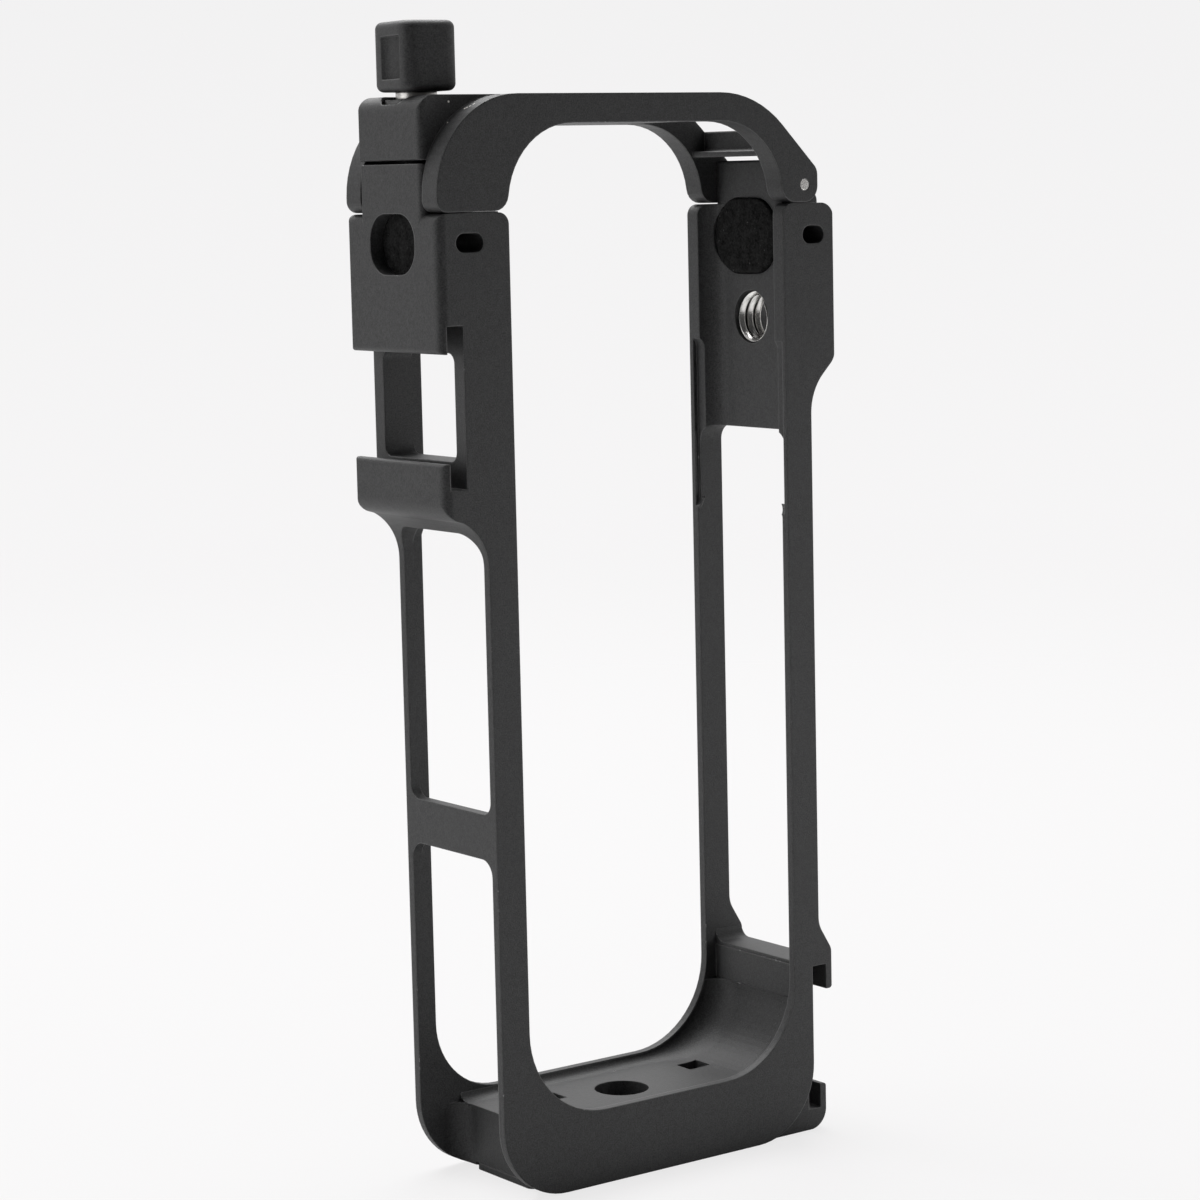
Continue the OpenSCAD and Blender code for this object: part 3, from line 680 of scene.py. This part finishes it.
def makeStrand():
    # one bent fibre of three sides, thinner at its tip
    deselectAll()
    bpy.ops.mesh.primitive_circle_add(vertices=3, radius=pad["strandRadius"], fill_type="NGON",
                                      location=(0, 0, 0))
    strand = bpy.context.object
    editMode()
    bpy.ops.mesh.select_all(action="SELECT")
    for step in range(pad["strandSteps"]):
        lean = pad["strandLean"] * step
        bpy.ops.mesh.extrude_region_move(TRANSFORM_OT_translate={
            "value": (math.sin(lean) * pad["strandStep"], 0, math.cos(lean) * pad["strandStep"])})
    bpy.ops.transform.resize(value=[pad["strandTip"]] * 3)
    objectMode()
    return strand


def scatterStrands(low, high, seed):
    # fibres on both faces of the pad, each at its own place, lean and length
    pick = random.Random(seed)
    strands = [makeStrand()]
    for count in range(pad["strands"] - 1):
        selectOnly(strands[0])
        bpy.ops.object.duplicate()
        strands.append(bpy.context.object)
    centre, half = (low + high) / 2, (high - low) / 2
    for strand in strands:
        angle = pick.uniform(0, math.tau)
        reach = pick.uniform(*pad["strandReach"]) ** 0.5
        side = pick.choice((-1, 1))
        strand.location = (centre.x + side * (half.x - pad["strandSunk"]),
                           centre.y + half.y * reach * math.cos(angle),
                           centre.z + half.z * reach * math.sin(angle))
        strand.rotation_euler = (pick.uniform(0, math.tau), side * pick.uniform(*pad["strandTilt"]),
                                 pick.uniform(*pad["strandTwist"]))
        strand.scale = [pick.uniform(*pad["strandSize"])] * 3
    return strands


def makePad(node):
    low, high = (Vector(corner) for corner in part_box(node))
    centre, span = (low + high) / 2, high - low
    deselectAll()
    bpy.ops.mesh.primitive_plane_add(size=1, location=centre, rotation=(0, math.pi / 2, 0))
    piece = bpy.context.object
    piece.name = node + "_fibres"
    piece.scale = (span.z, span.y, 1)
    bpy.ops.object.transform_apply(location=False, rotation=True, scale=True)
    editMode()
    bpy.ops.mesh.select_all(action="SELECT")
    bpy.ops.mesh.bevel(offset=pad["corner"], segments=pad["cornerSteps"], affect="VERTICES")
    bpy.ops.mesh.extrude_region_move(TRANSFORM_OT_translate={"value": (span.x, 0, 0)})
    bpy.ops.mesh.select_all(action="SELECT")
    bpy.ops.transform.translate(value=(-span.x / 2, 0, 0))
    bpy.ops.mesh.normals_make_consistent(inside=False)
    objectMode()
    grid = piece.modifiers.new("grid", "REMESH")
    grid.mode = "VOXEL"
    grid.voxel_size = pad["grid"]
    roughen(piece, "lumps", pad["lump"], pad["lumpHeight"])
    roughen(piece, "fuzz", pad["fuzz"], pad["fuzzHeight"])
    applyModifiers(piece)
    selectOnly(piece, *scatterStrands(low, high, pad["seed"] + len(node)))
    bpy.ops.object.join()
    bpy.ops.object.shade_smooth()
    settle(piece, darkFelt, "frame", (node,))


for node in ("felt_left", "felt_right"):
    makePad(node)
print("felt pads done")


# Camera at the photograph's place, with its angles in degrees

view = {"place": (-0.241108, -0.324067, 0.120876), "heading": 36.461, "dip": 7.284, "roll": -1.295,
        "lens": 100.058, "sensor": 36, "nearest": 0.01}


def makeCamera():
    heading, dip, roll = (math.radians(view[key]) for key in ("heading", "dip", "roll"))
    ahead = Vector((math.sin(heading) * math.cos(dip), math.cos(heading) * math.cos(dip), -math.sin(dip)))
    right = Vector((math.cos(heading), -math.sin(heading), 0))
    up = right.cross(ahead)
    right, up = right * math.cos(roll) + up * math.sin(roll), up * math.cos(roll) - right * math.sin(roll)
    bpy.ops.object.camera_add()
    camera = bpy.context.object
    camera.data.lens = view["lens"]
    camera.data.sensor_width = view["sensor"]
    camera.data.clip_start = view["nearest"]
    turn = Matrix((right, up, -ahead)).transposed().to_4x4()
    camera.matrix_world = Matrix.Translation(view["place"]) @ turn
    bpy.context.scene.camera = camera


# Pale floor that fades into the backdrop

floorLook = {"albedo": (0.6, 0.6, 0.6, 1), "seen": (0.908, 0.901, 0.904, 1), "own": 0.85, "solid": 0.25,
             "gone": 0.8, "reach": 0.88, "below": 0.1 * mm, "sides": 96}


def makeFloor():
    deselectAll()
    bpy.ops.mesh.primitive_circle_add(vertices=floorLook["sides"], radius=floorLook["reach"],
                                      fill_type="NGON", location=(0, 0, -floorLook["below"]))
    floor = bpy.context.object
    floor.name = "floor"
    recipe = Finish("paleFloor", {"Roughness": 0.9, "Specular IOR Level": 0.1})
    recipe.set("Base Color", floorLook["albedo"])
    # the camera sees part of the backdrop's own shade here, and the floor fades out before its edge
    rays = recipe.node("ShaderNodeLightPath", {}, {}, "Is Camera Ray")
    away = recipe.node("ShaderNodeVectorMath", {"operation": "LENGTH"}, [recipe.place], "Value")
    fade = recipe.spread(away, floorLook["solid"], floorLook["gone"], interpolation_type="SMOOTHSTEP")
    seen = recipe.node("ShaderNodeEmission", {}, {"Color": floorLook["seen"]})
    clear = recipe.node("ShaderNodeBsdfTransparent", {}, {})
    shown = Value(recipe, recipe.shader.outputs[0])
    for factor, other in ((rays * floorLook["own"], seen), (fade, clear)):
        shown = recipe.node("ShaderNodeMixShader", {}, [factor, shown, other])
    recipe.feed(recipe.tree.nodes["Material Output"].inputs["Surface"], shown)
    floor.data.materials.append(recipe.owner)


# Backdrop, pale on the far side of the object, with a dim room behind the camera

backdrop = {"top": (0.89, 0.885, 0.888, 1), "bottom": (0.965, 0.955, 0.96, 1), "room": (0.07, 0.07, 0.07, 1),
            "lowest": -0.3, "highest": 0.05, "roomEnds": -0.5, "paleStarts": 0.6}


def makeWorld():
    world = bpy.data.worlds.new("studio")
    bpy.context.scene.world = world
    recipe = Recipe(world, "Generated")
    height = recipe.node("ShaderNodeSeparateXYZ", {}, [recipe.place], "Z")
    pale = recipe.blend(recipe.spread(height, backdrop["lowest"], backdrop["highest"]),
                        backdrop["bottom"], backdrop["top"])
    heading = math.radians(view["heading"])
    ahead = recipe.node("ShaderNodeVectorMath", {"operation": "DOT_PRODUCT"},
                        [recipe.place, (math.sin(heading), math.cos(heading), 0)], "Value")
    facing = recipe.spread(ahead, backdrop["roomEnds"], backdrop["paleStarts"])
    # the camera sees the pale backdrop from every side
    rays = recipe.node("ShaderNodeLightPath", {}, {}, "Is Camera Ray")
    seen = recipe.node("ShaderNodeMath", {"operation": "MAXIMUM"}, [rays, facing])
    shade = recipe.blend(seen, backdrop["room"], pale)
    recipe.feed(recipe.tree.nodes["Background"].inputs["Color"], shade)


# Lamps: place, the point each one is aimed at, its two sides in metres and its power in watts

lamps = {
    "leftSoftbox": {"place": (-0.75, 0.25, 0.25), "aim": (0, 0, 0.07), "size": (0.6, 0.7), "power": 2.5},
    "topSoftbox": {"place": (0.1, 0.3, 0.8), "aim": (0, 0, 0.06), "size": (0.7, 0.7), "power": 13},
    "rightFill": {"place": (0.16, -0.2, 0.05), "aim": (0.01, 0, 0.01), "size": (0.1, 0.08), "power": 0.08},
    "frontSoftbox": {"place": (0.3, -0.45, 0.4), "aim": (0, 0, 0.05), "size": (0.3, 0.3), "power": 0.25},
}


def addLamp(name, settings):
    deselectAll()
    bpy.ops.object.light_add(type="AREA", location=settings["place"])
    lamp = bpy.context.object
    lamp.name = name
    lamp.data.shape = "RECTANGLE"
    lamp.data.size, lamp.data.size_y = settings["size"]
    lamp.data.energy = settings["power"]
    ahead = Vector(settings["aim"]) - Vector(settings["place"])
    lamp.rotation_euler = ahead.to_track_quat("-Z", "Y").to_euler()


makeCamera()
makeFloor()
makeWorld()
for name, settings in lamps.items():
    addLamp(name, settings)
print("stage done")
